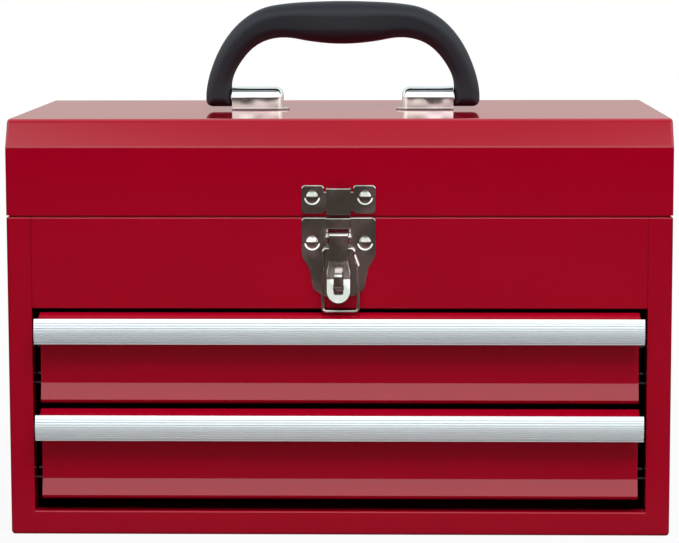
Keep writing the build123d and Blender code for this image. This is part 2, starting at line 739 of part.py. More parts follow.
def handle_bracket():
    """The right bracket: a domed saddle over the pin, on a foot clinched through the lid."""
    dome = along_x(arch(SADDLE_R, HANDLE_Z, LID_TOP), SADDLE_IN, SADDLE_OUT)
    end = dome.faces().sort_by(Axis.X)[0]
    dome = fillet([e for e in end.edges() if e.center().Z > LID_TOP + FOOT_T], SADDLE_END_R)
    bore = arch(PIN_R + PIN_PLAY, HANDLE_Z, LID_TOP)
    dome = dome - along_x(bore, SADDLE_IN + SADDLE_END_T, SADDLE_OUT)
    half = FOOT_W / 2
    tip = FOOT_TIP_W / 2
    plan = outline(
        (SADDLE_OUT, -half), (SADDLE_OUT, half), (SADDLE_IN + SADDLE_END_T, half),
        (FOOT_IN, tip), (FOOT_IN, -tip), (SADDLE_IN + SADDLE_END_T, -half),
    )
    foot = extrude(Plane.XY.offset(LID_TOP) * fillet(plan.vertices(), FOOT_R), FOOT_T)
    under = LID_TOP - SHEET
    span = (TAB_X - TAB_W / 2, TAB_X + TAB_W / 2)
    leg = block(span, (-half, TAB_T - half), (under - TAB_T, LID_TOP))
    clinch = block(span, (-half, TAB_FOLD - half), (under - TAB_T, under))
    tab = leg + clinch
    return dome + foot + tab + mirror(tab, about=Plane.XZ)


def handle_pin():
    """The right end of the grip's steel core: a pin in the bracket and a stub in the grip."""
    centre = (0, HANDLE_Z)
    start = SADDLE_IN + SADDLE_END_T + PIN_END_PLAY
    return rod(PIN_R, start, GRIP_END_IN, centre) + rod(
        PIN_STUB_R, GRIP_END_IN, GRIP_END_IN + PIN_STUB_LEN, centre
    )


def handle_grip():
    """The moulded grip: a lofted arch that thickens to a belly over the fingers."""
    half = GRIP_END_IN + GRIP_END_W
    stations = [(0, GRIP_END_IN, half, GRIP_END_DEEP)]
    for angle, inner, outer, deep in GRIP_STATIONS:
        stations.append((angle, inner * half, outer * half, deep * GRIP_DEEP))
    stations += [(180 - angle, *rest) for angle, *rest in reversed(stations[:-1])]
    sections = []
    for angle, inner, outer, deep in stations:
        ray = (math.cos(math.radians(angle)), math.sin(math.radians(angle)))
        middle = (inner + outer) / 2
        plane = Plane(
            origin=(middle * ray[0], 0, HANDLE_Z + middle * ray[1]),
            x_dir=(ray[0], 0, ray[1]),
            z_dir=(-ray[1], 0, ray[0]),
        )
        thick = outer - inner
        sections.append(plane * RectangleRounded(thick, deep, GRIP_ROUND * min(thick, deep)))
    arch_solid = loft(sections)
    outer = GRIP_END_IN + GRIP_END_W
    low = HANDLE_Z - GRIP_END_DROP
    plan = RectangleRounded(GRIP_END_W, GRIP_END_DEEP, GRIP_ROUND * GRIP_END_DEEP)
    stem = extrude(Plane.XY.offset(low) * Pos((GRIP_END_IN + outer) / 2, 0) * plan, GRIP_END_DROP)
    cradle = Pos(0, HANDLE_Z) * Ellipse(GRIP_END_DEEP / 2, GRIP_END_DROP)
    front_view = outline(
        (GRIP_END_IN, low), (outer, low), (outer, HANDLE_Z), (GRIP_END_IN, HANDLE_Z)
    )
    front_view = fillet(front_view.vertices().sort_by_distance((outer, low, 0))[:1], GRIP_END_R)
    shaped = along_x(cradle, GRIP_END_IN, outer) & along_y(front_view, -GRIP_END_DEEP, GRIP_END_DEEP)
    bore_start = GRIP_END_IN - PIN_STUB_R
    bore = rod(PIN_STUB_R + PIN_PLAY, bore_start, GRIP_END_IN + PIN_STUB_LEN, (0, HANDLE_Z))
    return joined([arch_solid] + both_sides(stem & shaped)) - joined(both_sides(bore))


# ---------------------------------------------------------------- draw latch
def bridge(low, high):
    """A raised U-shaped bridge of the latch, open behind, between two heights."""
    half = BRIDGE_W / 2
    line = [(-half, 0), (-half, -LATCH_RISE), (half, -LATCH_RISE), (half, 0)]
    section = Plane.XY.offset(low) * Pos(0, FRONT_Y) * folded(line, BRIDGE_STEEL, BRIDGE_BEND_R)
    return extrude(section, high - low)


def dome_rivet(x, up):
    """A domed rivet with its shank through the latch plate and the sheet behind."""
    ball_r = (DOME_R**2 + DOME_H**2) / (2 * DOME_H)
    foot = LATCH_T - DIMPLE_DEEP
    centre = FACE.offset(foot + DOME_H - ball_r) * Pos(x, up) * Sphere(ball_r)
    return (centre & peg(DOME_R, foot, foot + DOME_H, (x, up))) + peg(RIVET_R, -SHEET, foot, (x, up))


def dimple(x, up):
    """The shallow cone pressed round a rivet, and the rivet's hole."""
    cone = Cone(DOME_R, DIMPLE_R, DIMPLE_DEEP)
    cut = FACE.offset(LATCH_T - DIMPLE_DEEP / 2) * Pos(x, up) * cone
    return cut + peg(RIVET_R + RIVET_PLAY, -SHEET, LATCH_T, (x, up))


def latch_base():
    """The cabinet's latch plate: tapered outline, raised bridge, and two ears for the lever."""
    top = BODY_H
    half = LATCH_W / 2
    right = [
        (BASE_FOOT_W / 2, top - BASE_H), (BASE_TAIL_W / 2, top - BASE_TAIL_H),
        (BASE_NECK_W / 2, top - BASE_NECK_H), (half, top - BASE_SIDE_H), (half, top),
    ]
    left = [(-x, up) for x, up in reversed(right)]
    plan = fillet(outline(*right, *left).vertices(), LATCH_CORNER_R)
    plate = on_front(plan, 0, LATCH_T)
    window = block(
        (-EAR_INNER, EAR_INNER), (FRONT_Y - LATCH_T, FRONT_Y), (top - WINDOW_H, top)
    )
    pivot = (LEVER_PIN_OUT, LEVER_PIN_UP)
    ear = outline(
        (0, top - WINDOW_H), (LEVER_PIN_OUT, LEVER_PIN_UP - EAR_R),
        (LEVER_PIN_OUT, LEVER_PIN_UP + EAR_R), (LATCH_RISE - BRIDGE_STEEL, top - BRIDGE_H),
        (0, top - BRIDGE_H),
    )
    ear = ear + Pos(*pivot) * Circle(EAR_R) - Pos(*pivot) * Circle(LEVER_PIN_R + LATCH_PLAY)
    ear = extrude(SECTION.offset(-EAR_OUTER) * ear, BRIDGE_STEEL)
    base = joined([plate - window, bridge(top - BRIDGE_H, top)] + both_sides(ear))
    return base - joined(both_sides(dimple(RIVET_SPACING / 2, top - BASE_RIVET_DROP)))


def strike_plate():
    """The lid's latch plate: two pads beside a raised bridge, whose top takes the wire."""
    low = LID_UP + STRIKE_UP
    pad_in = BRIDGE_W / 2 + PAD_GAP
    pad = Rectangle(LATCH_W / 2 - pad_in, STRIKE_PAD_H)
    centre = ((LATCH_W / 2 + pad_in) / 2, low + STRIKE_PAD_UP + STRIKE_PAD_H / 2)
    plan = fillet((Pos(*centre) * pad).vertices(), LATCH_CORNER_R)
    pads = both_sides(on_front(plan, 0, LATCH_T))
    web = block(
        (-pad_in - LATCH_CORNER_R, pad_in + LATCH_CORNER_R),
        (FRONT_Y - LATCH_T, FRONT_Y),
        (low + LATCH_CORNER_R, low + STRIKE_BRIDGE_H - LATCH_CORNER_R),
    )
    hollow = block((-EAR_INNER, EAR_INNER), (FRONT_Y - LATCH_T, FRONT_Y), (low, low + STRIKE_BRIDGE_H))
    plate = joined(pads + [web - hollow, bridge(low, low + STRIKE_BRIDGE_H)])
    return plate - joined(both_sides(dimple(RIVET_SPACING / 2, low + STRIKE_RIVET_UP)))


def latch_staple():
    """The padlock loop that stands out through the lever's slot."""
    low = LEVER_PIN_UP - STAPLE_DROP - STAPLE_H / 2
    high = low + STAPLE_H
    line = [(LATCH_T, high), (STAPLE_OUT, high), (STAPLE_OUT, low), (LATCH_T, low)]
    section = folded(line, STAPLE_STEEL, STAPLE_BEND_R, Side.RIGHT)
    return across_front(section, STAPLE_W / 2)


def lever_pin():
    """The pin across the ears, peened at both ends."""
    half = EAR_OUTER + LEVER_PIN_END
    return rod(LEVER_PIN_R, -half, half, (FRONT_Y - LEVER_PIN_OUT, LEVER_PIN_UP))


def latch_lever():
    """The lever: a folded face with a kicked-out tail and a slot, and two flanges on the pin."""
    kick = LEVER_PIN_UP - LEVER_KICK_DROP
    low = LEVER_PIN_UP - LEVER_LEN
    top = LEVER_PIN_UP + LEVER_TOP_R
    line = [
        (LEVER_PIN_OUT - LEVER_TOP_R / 2, top), (LEVER_FACE_OUT, top), (LEVER_FACE_OUT, kick),
        (LEVER_FACE_OUT + LEVER_KICK_OUT, low),
    ]
    tail_half = LEVER_TAIL_W / 2
    face = across_front(folded(line, LEVER_STEEL, LEVER_FACE_R, Side.RIGHT), tail_half)
    waist = LEVER_PIN_UP - LEVER_WAIST_DROP
    flare = LEVER_PIN_UP - LEVER_FLARE_DROP
    round_up = low + tail_half
    upper = outline(
        (LEVER_HALF, top), (LEVER_HALF, waist), (tail_half, flare), (tail_half, round_up),
        (-tail_half, round_up), (-tail_half, flare), (-LEVER_HALF, waist), (-LEVER_HALF, top),
    )
    plan = upper + Pos(0, round_up) * Circle(tail_half)
    slot_up = LEVER_PIN_UP - LEVER_SLOT_DROP - LEVER_SLOT_LEN / 2
    plan = plan - Pos(0, slot_up) * RectangleRounded(LEVER_SLOT_W, LEVER_SLOT_LEN, LEVER_SLOT_R)
    reach = LEVER_FACE_OUT + LEVER_KICK_OUT
    face = face & on_front(plan, 0, reach)
    pivot = Pos(LEVER_PIN_OUT, LEVER_PIN_UP)
    lug = Pos(BAIL_PIVOT_OUT, BAIL_PIVOT_UP)
    inside = LEVER_FACE_OUT - LEVER_STEEL / 2
    cheek = outline(
        (LEVER_PIN_OUT, top), (LEVER_PIN_OUT - LEVER_TOP_R, LEVER_PIN_UP),
        (BAIL_PIVOT_OUT - LUG_R, BAIL_PIVOT_UP), (BAIL_PIVOT_OUT, BAIL_PIVOT_UP - LUG_R),
        (inside, BAIL_PIVOT_UP - 2 * LUG_R), (inside, LEVER_PIN_UP + LEVER_TOP_R / 2),
    )
    cheek = cheek + pivot * Circle(LEVER_TOP_R) + lug * Circle(LUG_R)
    cheek = cheek - pivot * Circle(LEVER_PIN_R + LATCH_PLAY) - lug * Circle(BAIL_WIRE_R + LATCH_PLAY)
    cheek = extrude(SECTION.offset(-LEVER_HALF) * cheek, LEVER_FLANGE_T)
    return joined([face] + both_sides(cheek))


def latch_bail():
    """The wire loop that hangs from the lever, its ends turned in through the flanges."""
    tip = LEVER_HALF - LEVER_FLANGE_T - BAIL_TIP
    jog = BAIL_PIVOT_UP - BAIL_JOG_DROP
    spread = jog - BAIL_JOG_LEN
    low = BAIL_PIVOT_UP - BAIL_LEN
    left = BAIL_LEAN - BAIL_LOW_W / 2
    right = BAIL_LEAN + BAIL_LOW_W / 2
    top = BAIL_TOP_W / 2
    points = [
        (-tip, BAIL_PIVOT_UP), (-top, BAIL_PIVOT_UP), (-top, jog), (left, spread), (left, low),
        (right, low), (right, spread), (top, jog), (top, BAIL_PIVOT_UP), (tip, BAIL_PIVOT_UP),
    ]
    path = FACE.offset(BAIL_PIVOT_OUT) * FilletPolyline(*points, radius=BAIL_BEND_R)
    start = Plane(origin=path @ 0, z_dir=path % 0)
    return sweep(start * Circle(BAIL_WIRE_R), path=path)


# ---------------------------------------------------------------- all pieces
def write_cabinet():
    """Everything that stays still when the box is opened."""
    skin = cabinet_skin()
    fold = shoulder()
    right, left = both_sides(side_panel(skin, fold))
    write("side_panel_right", right)
    write("side_panel_left", left)
    write("bottom_pan", bottom_pan(skin))
    write("back_panel", back_panel(skin))
    panel = front_panel(fold)
    base_up = BODY_H - BASE_RIVET_DROP
    base_holes = both_sides(peg(RIVET_R + RIVET_PLAY, -SHEET, 0, (RIVET_SPACING / 2, base_up)))
    write("front_panel", panel - joined(base_holes))
    write("tray_floor", tray_floor())
    write("tray_flanges", *tray_flanges())
    write("slide_posts", *[s for y in POST_YS for s in both_sides(slide_post(y))])
    write("hinge_leaf_cabinet", hinge_leaf(0, -1))
    write("hinge_pin", hinge_pin())
    write("stay_studs", *both_sides(stay_stud(stay_place(-STAY_BODY_ANGLE))))
    write("latch_base", latch_base())
    write("latch_base_rivets", *both_sides(dome_rivet(RIVET_SPACING / 2, base_up)))
    write("latch_staple", latch_staple())
    write("latch_lever_pin", lever_pin())


def write_lid():
    """The lid and what is fixed to it, with the handle, the stays and the moving latch parts."""
    strike_up = LID_UP + STRIKE_UP + STRIKE_RIVET_UP
    holes = both_sides(peg(RIVET_R + RIVET_PLAY, -SHEET, 0, (RIVET_SPACING / 2, strike_up)))
    write("lid_shell", lid_shell() - joined(holes))
    write("hinge_leaf_lid", hinge_leaf(1, 1))
    write("strike_plate", strike_plate())
    write("strike_rivets", *both_sides(dome_rivet(RIVET_SPACING / 2, strike_up)))
    write("stay_pivots", *both_sides(stay_stud(stay_place(STAY_LID_ANGLE))))
    right, left = both_sides(handle_bracket())
    write("handle_bracket_right", right)
    write("handle_bracket_left", left)
    write("handle_pins", *both_sides(handle_pin()))
    write("handle_grip", handle_grip())
    right, left = both_sides(stay_arm())
    write("stay_arm_right", right)
    write("stay_arm_left", left)
    write("latch_lever", latch_lever())
    write("latch_bail", latch_bail())


def write_drawer(number, up):
    """One drawer with its pull, its slides and their ball cages."""
    slide_up = up + SLIDE_UP
    write(f"drawer_{number}_tray", drawer_tray(up))
    write(f"drawer_{number}_front", drawer_front(up))
    write(f"drawer_{number}_pull", drawer_pull(up))
    write(f"drawer_{number}_inner_slides", *both_sides(inner_slide(slide_up)))
    write(f"drawer_{number}_rivets", *drawer_rivets(slide_up))
    write(f"drawer_{number}_ball_cages", *both_sides(ball_cage(slide_up)))
    balls = [Pos(*place) * Sphere(BALL_R) for place in ball_places(slide_up)]
    write(f"drawer_{number}_balls", *[ball for one in balls for ball in both_sides(one)])
    write(f"outer_slides_{number}", *both_sides(outer_slide(slide_up)))
    near, far = SLIDE_BACK - SLIDE_STEEL, SLIDE_BACK + POST_STEEL
    heads = [slide_rivet(near, far, (y, slide_up)) for y in POST_YS]
    write(f"outer_slide_rivets_{number}", *[rivet for head in heads for rivet in both_sides(head)])


os.makedirs("parts", exist_ok=True)
write_cabinet()
write_lid()
for drawer_number, front_up in enumerate(FRONT_UPS, start=1):
    write_drawer(drawer_number, front_up)
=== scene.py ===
import math

import bmesh
import bpy
from mathutils import Matrix, Vector


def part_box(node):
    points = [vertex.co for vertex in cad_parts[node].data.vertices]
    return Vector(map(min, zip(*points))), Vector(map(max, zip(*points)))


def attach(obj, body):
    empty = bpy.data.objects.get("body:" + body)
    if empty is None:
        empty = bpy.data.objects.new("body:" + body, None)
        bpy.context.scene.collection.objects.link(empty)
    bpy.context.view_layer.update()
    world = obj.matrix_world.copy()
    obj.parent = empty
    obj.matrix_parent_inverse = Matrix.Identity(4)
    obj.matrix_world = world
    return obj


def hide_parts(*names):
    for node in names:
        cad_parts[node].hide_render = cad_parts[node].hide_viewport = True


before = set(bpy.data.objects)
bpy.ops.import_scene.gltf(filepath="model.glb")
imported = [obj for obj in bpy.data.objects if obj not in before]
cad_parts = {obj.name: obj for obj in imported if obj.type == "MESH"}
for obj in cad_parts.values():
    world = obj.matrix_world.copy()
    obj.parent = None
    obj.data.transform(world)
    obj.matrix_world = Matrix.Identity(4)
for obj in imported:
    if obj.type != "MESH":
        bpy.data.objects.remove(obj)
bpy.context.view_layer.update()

bl_info = {
    "name": "Red Tool Box",
    "version": (1, 0, 0),
    "blender": (4, 5, 0),
    "location": "View3D > Sidebar > Tool Box",
    "description": "Dresses a sheet-steel tool box in enamel, plate and moulded plastic",
    "category": "Object",
}

MM = 0.001

# The camera that the photograph's edges were fitted to, in the box's own frame, in metres,
# degrees and pixels.
CAMERA_PLACE = (0.0355, -1.4905, 0.3130)
CAMERA_YAW = -1.447
CAMERA_PITCH = 6.83
CAMERA_ROLL = -0.129
FOCAL_PIXELS = 2568.0
IMAGE_WIDTH = 679

# Soft lamps: name, place, point aimed at, size, and share of the key lamp's power.
LAMPS = (
    ("key", (0.2, -1.1, 1.9), (0, 0, 0.12), (1.6, 1.2), 1.0),
    ("front", (-0.4, -2.2, 0.9), (0, 0, 0.12), (1.6, 0.8), 0.12),
    ("top", (0, 0.3, 2.0), (0, 0, 0.2), (1.6, 1.2), 0.2),
    ("rear", (0.5, 2.0, 1.2), (0, 0, 0.12), (1.6, 1.0), 0.5),
)

# What gloss mirrors: the room's light by direction, and the floor as a painted reflection, lighter near
# the box than far from it.
SKY_HUE = (0.92, 0.97, 1.0)
GROUND_HUE = (1.0, 0.84, 0.80)
CEILING_DROP = 1.6
SIDE_LIGHT = 0.5
FLOOR_NEAR = (0.44, 0.26, 0.25)
FLOOR_FAR = (0.16, 0.11, 0.10)

# The floor: half its width in metres, and how far it lies under the box, in mm.
FLOOR_REACH = 6.0
FLOOR_DROP = 0.05

PAINTED = (
    "side_panel_left", "side_panel_right", "back_panel", "bottom_pan", "front_panel",
    "tray_floor", "tray_flanges", "lid_shell", "slide_posts",
)
ZINC_PLATED = (
    "outer_slide_rivets_1", "outer_slide_rivets_2", "drawer_1_rivets", "drawer_2_rivets",
    "stay_studs", "stay_pivots", "stay_arm_left", "stay_arm_right", "handle_pins", "hinge_pin",
    "hinge_leaf_cabinet", "hinge_leaf_lid",
)
SLIDE_PARTS = (
    "outer_slides_1", "outer_slides_2", "drawer_1_inner_slides", "drawer_2_inner_slides",
    "drawer_1_ball_cages", "drawer_2_ball_cages",
)
BALL_STEEL = (0.72, 0.73, 0.75)

# Grooves of a drawer's pull, where shade is painted: the lowest one and their spacing, as shares of the
# pull's height.
FIRST_GROOVE = 0.06
GROOVE_PITCH = 0.0975

# In mm: the painted contact shadow round a bracket's foot, a hinge leaf's thickness, and points that
# are one.
FOOT_SHADOW_HEIGHT = 0.7
LEAF_SHEET = 0.8
SAME_POINT = 0.002

# Edges that get rounded: faces flatter than the first angle are one, edges sharper than the
# second are crisp, and one of an edge's faces looks to the front at least this squarely.
FLAT_ANGLE = math.radians(1.5)
CRISP_ANGLE = math.radians(60)
FRONTWARD = 0.7


# ---------------------------------------------------------------- nodes
def add_node(tree, kind, settings, inputs):
    """Adds a node: settings first, then sockets by name or place, as values or links."""
    made = tree.nodes.new(kind)
    for key, value in settings.items():
        setattr(made, key, value)
    for key, value in inputs.items():
        if isinstance(value, bpy.types.NodeSocket):
            tree.links.new(value, made.inputs[key])
        else:
            made.inputs[key].default_value = value
    return made


def scaled(colour, share):
    """A colour with every channel multiplied by a share."""
    return [channel * share for channel in colour]


class Field:
    """A shader socket that Python arithmetic joins to others with Math nodes."""

    def __init__(self, recipe, socket):
        self.recipe = recipe
        self.socket = socket

    def __add__(self, other):
        return self.recipe.maths("ADD", self, other)

    __radd__ = __add__

    def __sub__(self, other):
        return self.recipe.maths("SUBTRACT", self, other)

    def __rsub__(self, other):
        return self.recipe.maths("SUBTRACT", other, self)

    def __mul__(self, other):
        return self.recipe.maths("MULTIPLY", self, other)

    __rmul__ = __mul__

    def __truediv__(self, other):
        return self.recipe.maths("DIVIDE", self, other)


class Recipe:
    """The nodes of one material or world, all added by a single method."""

    def __init__(self, block):
        self.block = block
        block.use_nodes = True
        self.tree = block.node_tree
        self.tree.nodes.clear()

    def node(self, kind, settings=None, inputs=None, output=0):
        """Adds a node and gives one of its outputs, if it has any."""
        sockets = {
            key: value.socket if isinstance(value, Field) else value
            for key, value in (inputs or {}).items()
        }
        made = add_node(self.tree, kind, settings or {}, sockets)
        return Field(self, made.outputs[output]) if len(made.outputs) else None

    def maths(self, operation, *values):
        return self.node("ShaderNodeMath", {"operation": operation}, dict(enumerate(values)))

    def place(self, scale=(1, 1, 1)):
        """The point on the surface in metres, stretched by a scale along each axis."""
        point = self.node("ShaderNodeTexCoord", output="Object")
        return self.node("ShaderNodeMapping", {}, {"Vector": point, "Scale": scale})

    def axis(self, name):
        """One coordinate of the point on the surface, in metres."""
        return self.node("ShaderNodeSeparateXYZ", {}, {0: self.place()}, output=name)

    def noise(self, scale, detail, stretch=(1, 1, 1), roughness=0.5):
        """Cloudy noise, with about this many clouds in a metre."""
        inputs = {
            "Vector": self.place(stretch), "Scale": scale, "Detail": detail, "Roughness": roughness
        }
        return self.node("ShaderNodeTexNoise", {}, inputs)

    def step(self, value, low, high):
        """A smooth rise from 0 to 1 between two values."""
        inputs = {"Value": value, "From Min": low, "From Max": high, "To Min": 0.0, "To Max": 1.0}
        return self.node("ShaderNodeMapRange", {"interpolation_type": "SMOOTHSTEP"}, inputs)

    def spread(self, amount, low, high):
        """A value between two, by an amount."""
        return low + amount * (high - low)

    def tint(self, amount, first, second):
        """A colour between two, by an amount."""
        first, second = (end if isinstance(end, Field) else (*end, 1) for end in (first, second))
        inputs = {"Factor": amount, 6: first, 7: second}
        return self.node("ShaderNodeMix", {"data_type": "RGBA"}, inputs, output=2)

    def shades(self, amount, colour, darkest, lightest=1.0):
        """One colour in shades between two shares of its brightness, by an amount."""
        return self.tint(amount, scaled(colour, darkest), scaled(colour, lightest))

    def relief(self, height, depth):
        """A bump whose full height is the given depth in metres."""
        return self.node("ShaderNodeBump", {}, {"Height": height, "Distance": depth})

    def finish(self, **sockets):
        """The shader, with sockets named in words that underscores join."""
        inputs = {
            key.replace("_", " ").title().replace("Ior", "IOR"): value
            for key, value in sockets.items()
        }
        shader = self.node("ShaderNodeBsdfPrincipled", {}, inputs)
        self.node("ShaderNodeOutputMaterial", {}, {"Surface": shader})
        return self.block


# ---------------------------------------------------------------- materials
def blank_material(name):
    return Recipe(bpy.data.materials.new(name))


def enamel(values):
    """Baked gloss enamel: a clear skin with faint orange peel over slightly uneven red."""
    paint = blank_material("red_enamel")
    drift = paint.noise(scale=14.0, detail=3.0)
    peel = paint.noise(scale=1 / (values.peel_size * MM), detail=1.0)
    wave = paint.noise(scale=30.0, detail=1.0)
    patches = paint.noise(scale=55.0, detail=4.0)
    peel_share = 0.3
    return paint.finish(
        base_color=paint.shades(drift, values.colour, darkest=0.92, lightest=1.06),
        roughness=paint.spread(patches, low=0.30, high=0.42),
        specular_ior_level=0.0, coat_weight=1.0, coat_roughness=values.gloss, coat_ior=1.5,
        normal=paint.relief(peel * peel_share + wave, depth=0.04 * MM),
    )


def plated(name, colour, rough, cloud, lines=0.0, lean=0.0, bend_up=0.0, foot_up=0.0):
    """Bright plated steel: cloudy polish, rolling lines, a gentle lean below a bend, a painted contact
    shadow at the foot.
    """
    plate = blank_material(name)
    haze = plate.noise(scale=160.0, detail=4.0)
    haze_blur = 0.08
    grain = plate.noise(scale=2600.0, detail=2.0, stretch=(1, 1, 0.06))
    grain_share = 0.02
    hammer = plate.noise(scale=130.0, detail=0.0)
    ripple_depth = 0.14 * MM
    red, green, blue = colour
    faded = 0.92
    stain = scaled((red * faded, green, blue * faded), 1 - cloud)
    clear = plate.step(plate.noise(scale=70.0, detail=2.0), low=0.4, high=0.6)
    polish = plate.tint(clear, stain, colour)
    # Painted shadow: the plate darkens below the foot's height, where the bracket meets the lid.
    above = plate.step(plate.axis("Z"), low=foot_up - 0.2 * MM, high=foot_up + 0.3 * MM)
    foot_shadow = 0.18
    below = bend_up - plate.axis("Z")
    slope = plate.maths("MAXIMUM", below, 0.0) * lean
    return plate.finish(
        base_color=plate.tint(above, scaled(colour, foot_shadow), polish), metallic=1.0,
        roughness=rough + haze * haze_blur + grain * lines,
        normal=plate.relief((grain * grain_share + hammer) * ripple_depth + slope, depth=1.0),
    )


def zinc(name, light):
    """Zinc-plated steel with a soft spangle."""
    plate = blank_material(name)
    inputs = {"Vector": plate.place(), "Scale": 260.0}
    spangle = plate.node("ShaderNodeTexVoronoi", {}, inputs, output="Color")
    amount = plate.node("ShaderNodeSeparateColor", {}, {0: spangle}, output=0)
    return plate.finish(
        base_color=plate.shades(amount, light, darkest=0.86), metallic=1.0,
        roughness=plate.spread(amount, low=0.30, high=0.44),
    )


def drawn_aluminium(light, node):
    """Extruded aluminium with die lines along its length and painted shade in the grooves of one pull.
    """
    metal = blank_material(f"{node}_aluminium")
    low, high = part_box(node)
    share = (metal.axis("Z") - low.z) / (high.z - low.z)
    pitches = (share - FIRST_GROOVE) / GROOVE_PITCH
    from_groove = metal.maths("PINGPONG", pitches, 0.5)
    # Painted shade: the base colour darkens in each groove of the pull.
    groove_shade = 1 - metal.step(from_groove, low=0.03, high=0.20)
    groove_shade_level = 0.72
    lines = metal.noise(scale=1600.0, detail=2.0, stretch=(0.004, 1, 1), roughness=0.6)
    stain = metal.noise(scale=22.0, detail=3.0)
    bright = metal.shades(stain, light, darkest=0.95)
    return metal.finish(
        base_color=metal.tint(groove_shade, bright, scaled(light, groove_shade_level)), metallic=0.52,
        roughness=metal.spread(lines, low=0.36, high=0.48), specular_ior_level=0.2,
        normal=metal.relief(lines, depth=0.004 * MM),
    )


def moulded_plastic(values):
    """Moulded black plastic with a fine grain and the thin line where the mould closed."""
    grip = blank_material("grip_plastic")
    grain = grip.noise(scale=1 / (values.grain_size * MM), detail=2.0)
    grain_blur = 0.06
    grain_share = 0.35
    edge = values.seam_width * MM
    edge_share = 0.4
    off_middle = grip.maths("ABSOLUTE", grip.axis("Y"))
    seam = 1 - grip.step(off_middle, low=edge * edge_share, high=edge)
    seam_share = 2
    bloom = grip.noise(scale=38.0, detail=3.0)
    return grip.finish(
        base_color=grip.shades(bloom, values.colour, darkest=0.85, lightest=1.25),
        roughness=grip.spread(bloom, low=0.40, high=0.52) + grain * grain_blur,
        specular_ior_level=0.35,
        normal=grip.relief(grain * grain_share + seam * seam_share, depth=0.06 * MM),
    )


# ---------------------------------------------------------------- mesh helpers
def coat(material, *nodes):
    """Gives CAD nodes one material over all their slots."""
    for name in nodes:
        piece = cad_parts[name]
        piece.data.materials.clear()
        piece.data.materials.append(material)


def soften(shape, width):
    """Rounds the crisp outer edges of a sheet piece's front faces."""
    bmesh.ops.dissolve_limit(shape, angle_limit=FLAT_ANGLE, verts=shape.verts, edges=shape.edges)
    crisp = [
        edge for edge in shape.edges
        if edge.is_manifold and edge.is_convex and edge.calc_face_angle() > CRISP_ANGLE
        and min(face.normal.y for face in edge.link_faces) < -FRONTWARD
    ]
    bmesh.ops.bevel(shape, geom=crisp, offset=width, segments=4, profile=0.5, affect="EDGES")


def shade(mesh, sharp):
    """Smooths faces that meet at less than an angle. Large flat faces keep their own normal."""
    around = {}
    for face in mesh.polygons:
        for corner in face.vertices:
            around.setdefault(corner, []).append(face)
    normals = []
    for face in mesh.polygons:
        for corner in face.vertices:
            near = [other for other in around[corner] if other.normal.angle(face.normal, 0.0) < sharp]
            blend = sum((other.normal * other.area for other in near), Vector())
            normals.append(blend.normalized() if blend.length else face.normal)
    mesh.normals_split_custom_set(normals)


def dressed(node, name, body, material, sharp=26.0, rounding=0.0):
    """A merged copy of a CAD node that stands for it. Sharp is in degrees, rounding in mm."""
    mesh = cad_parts[node].data.copy()
    mesh.name = name
    shape = bmesh.new()
    shape.from_mesh(mesh)
    bmesh.ops.remove_doubles(shape, verts=shape.verts, dist=SAME_POINT * MM)
    if rounding:
        soften(shape, rounding * MM)
    shape.to_mesh(mesh)
    shape.free()
    shade(mesh, math.radians(sharp))
    placed(name, mesh, body, material, node)


def placed(name, mesh, body, material, *nodes):
    """Links a finished mesh at the origin, in one material, riding on a body for its nodes."""
    piece = bpy.data.objects.new(name, mesh)
    bpy.context.scene.collection.objects.link(piece)
    mesh.materials.clear()
    mesh.materials.append(material)
    mesh.polygons.foreach_set("material_index", [0] * len(mesh.polygons))
    if nodes:
        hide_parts(*nodes)
    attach(piece, body)


# ---------------------------------------------------------------- repeated pieces
class Graph:
    """A Geometry Nodes tree with named inputs."""

    def __init__(self, name):
        self.tree = bpy.data.node_groups.new(name, "GeometryNodeTree")
        self.tree.interface.new_socket("Geometry", in_out="OUTPUT", socket_type="NodeSocketGeometry")
        self.inputs = self.tree.nodes.new("NodeGroupInput")
        self.keys = {}

    def size(self, name, kind="NodeSocketFloat"):
        """Adds a named input and gives its socket inside the tree."""
        item = self.tree.interface.new_socket(name, in_out="INPUT", socket_type=kind)
        self.keys[name] = item.identifier
        return self.inputs.outputs[name]

    def node(self, kind, inputs):
        """Adds a node and gives its first output."""
        return add_node(self.tree, kind, {}, inputs).outputs[0]

    def line(self, count, start, pitch):
        """Points in a row."""
        inputs = {"Count": count, "Start Location": start, "Offset": pitch}
        return self.node("GeometryNodeMeshLine", inputs)

    def close(self, geometry, material):
        """Ends the tree with plain mesh in one material."""
        real = self.node("GeometryNodeRealizeInstances", {0: geometry})
        done = self.node("GeometryNodeSetMaterial", {0: real, "Material": material})
        out = self.tree.nodes.new("NodeGroupOutput")
        self.tree.links.new(done, out.inputs[0])

    def mesh(self, name, **values):
        """The tree's result as a plain mesh, for the given inputs."""
        holder = bpy.data.objects.new(name, bpy.data.meshes.new(name))
        bpy.context.scene.collection.objects.link(holder)
        live = holder.modifiers.new("build", "NODES")
        live.node_group = self.tree
        for key, value in values.items():
            live[self.keys[key.title()]] = value
        bpy.context.view_layer.update()
        seen = holder.evaluated_get(bpy.context.evaluated_depsgraph_get())
        result = bpy.data.meshes.new_from_object(seen)
        bpy.data.objects.remove(holder)
        return result


